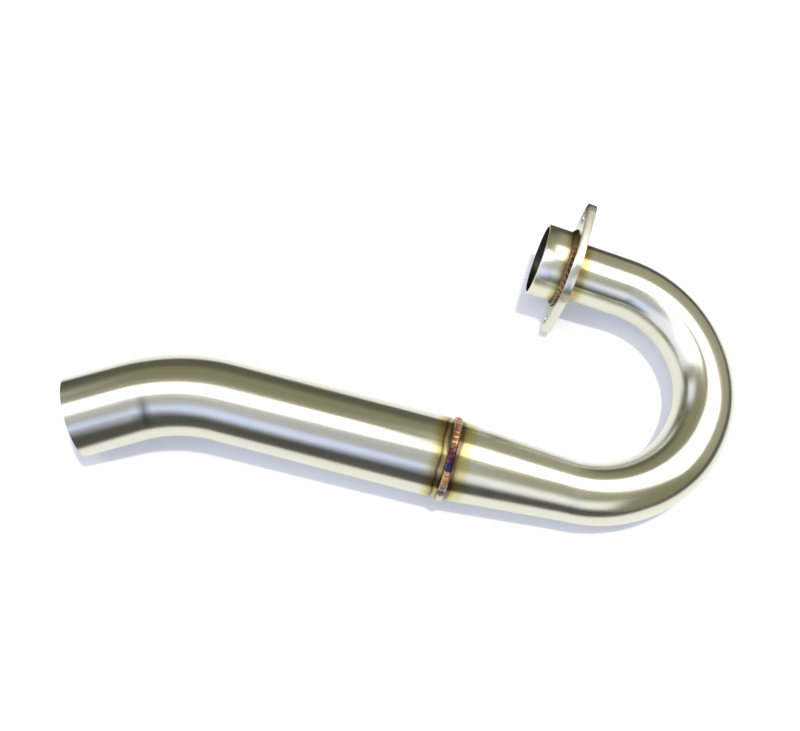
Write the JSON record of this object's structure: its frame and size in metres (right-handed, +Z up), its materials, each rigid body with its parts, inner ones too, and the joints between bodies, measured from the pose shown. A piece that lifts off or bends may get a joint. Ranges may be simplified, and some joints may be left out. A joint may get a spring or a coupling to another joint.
{
  "type": "exhaust header",
  "caption": "U-bent stainless exhaust header pipe with a turned port collar, two-bolt flange, formed taper and a larger rear pipe.",
  "frame": {"origin": "middle of the flange's engine face, on the axis of the port collar", "axes": "+X along the straight rear pipe towards the U bend, +Z up from the surface it lies on, +Y across"},
  "size_m": [0.4389, 0.2523, 0.0692],
  "materials": {
    "tube_steel": "fine lengthwise brushing with straw heat tint beside the welds",
    "turned_steel": "turned, bright",
    "plate_steel": "brushed plate",
    "weld_bead": "rippled bead with straw, copper and violet heat tint"
  },
  "bodies": {
    "root": {"head_pipe": "tube_steel", "rear_pipe": "tube_steel", "port_collar": "turned_steel", "port_flange": "plate_steel", "mid_weld": "weld_bead", "collar_weld": "weld_bead"}
  },
  "joints": []
}
